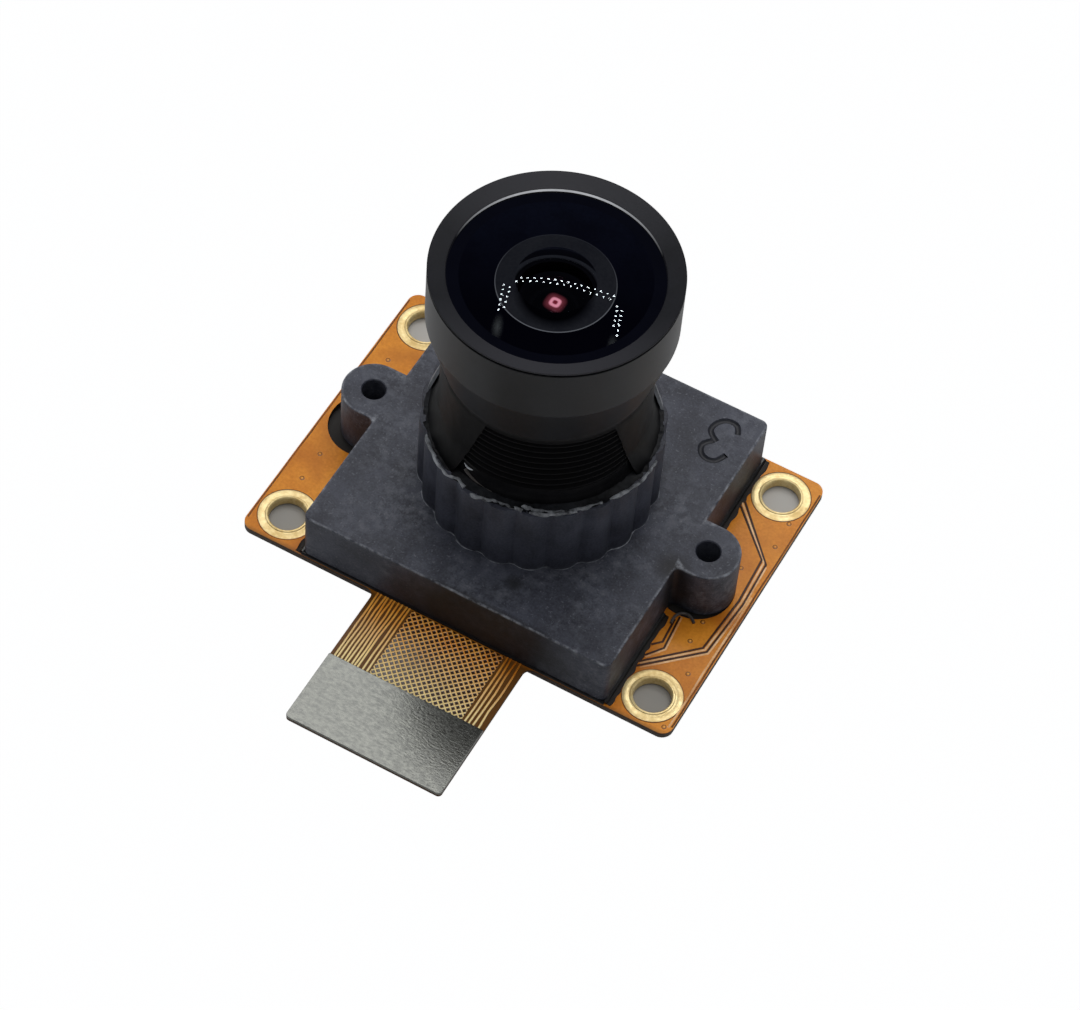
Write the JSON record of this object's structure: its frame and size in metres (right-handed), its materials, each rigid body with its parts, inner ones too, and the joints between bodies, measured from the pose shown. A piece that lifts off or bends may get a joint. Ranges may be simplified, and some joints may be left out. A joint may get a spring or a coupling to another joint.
{
  "type": "camera module",
  "caption": "Fixed-focus camera module: screw-in wide-angle lens in a grip-collared moulded holder with two screw ears, on a small flexible circuit with a plug tail.",
  "frame": {"origin": "centre of the four board mounting holes, on the underside of the board, which is also where the lens axis meets it", "axes": "+Z along the lens axis, out of the front glass; +X along the board's long side, through the two holder ears; -Y along the plug tail"},
  "size_m": [0.028, 0.0299, 0.0224],
  "materials": {
    "polyimide": "amber coverlay over copper, satin gloss",
    "dark_laminate": "dark laminate",
    "steel_plate": "brushed plate",
    "gold_plating": "flash gold over copper",
    "holder_plastic": "moulded dark grey plastic, faintly mottled",
    "black_glue": "cured black adhesive",
    "black_anodised": "black anodised turning",
    "coated_glass": "coated optical glass",
    "filter_glass": "thin coated glass",
    "sensor_ceramic": "dark ceramic",
    "silicon": "polished silicon",
    "capacitor_ceramic": "tan ceramic",
    "tinned_ends": "tinned metal",
    "chip_epoxy": "black epoxy"
  },
  "bodies": {
    "root": {"flex_circuit": "polyimide", "board_stiffener": "dark_laminate", "tail_stiffener": "steel_plate", "contact_fingers": "gold_plating", "hole_rings": "gold_plating", "lens_holder": "holder_plastic", "adhesive_bead": "black_glue", "lens_barrel": "black_anodised", "front_ring": "black_anodised", "front_lens": "coated_glass", "front_spacer": "black_anodised", "second_lens": "coated_glass", "second_spacer": "black_anodised", "third_lens": "coated_glass", "aperture_stop": "black_anodised", "doublet_front": "coated_glass", "doublet_rear": "coated_glass", "rear_spacer": "black_anodised", "rear_lens": "coated_glass", "thread_glue": "black_glue", "infrared_filter": "filter_glass", "sensor_package": "sensor_ceramic", "sensor_die": "silicon", "sensor_cover_glass": "filter_glass", "decoupling_capacitors": "capacitor_ceramic", "capacitor_caps": "tinned_ends", "voltage_regulators": "chip_epoxy"}
  },
  "joints": []
}
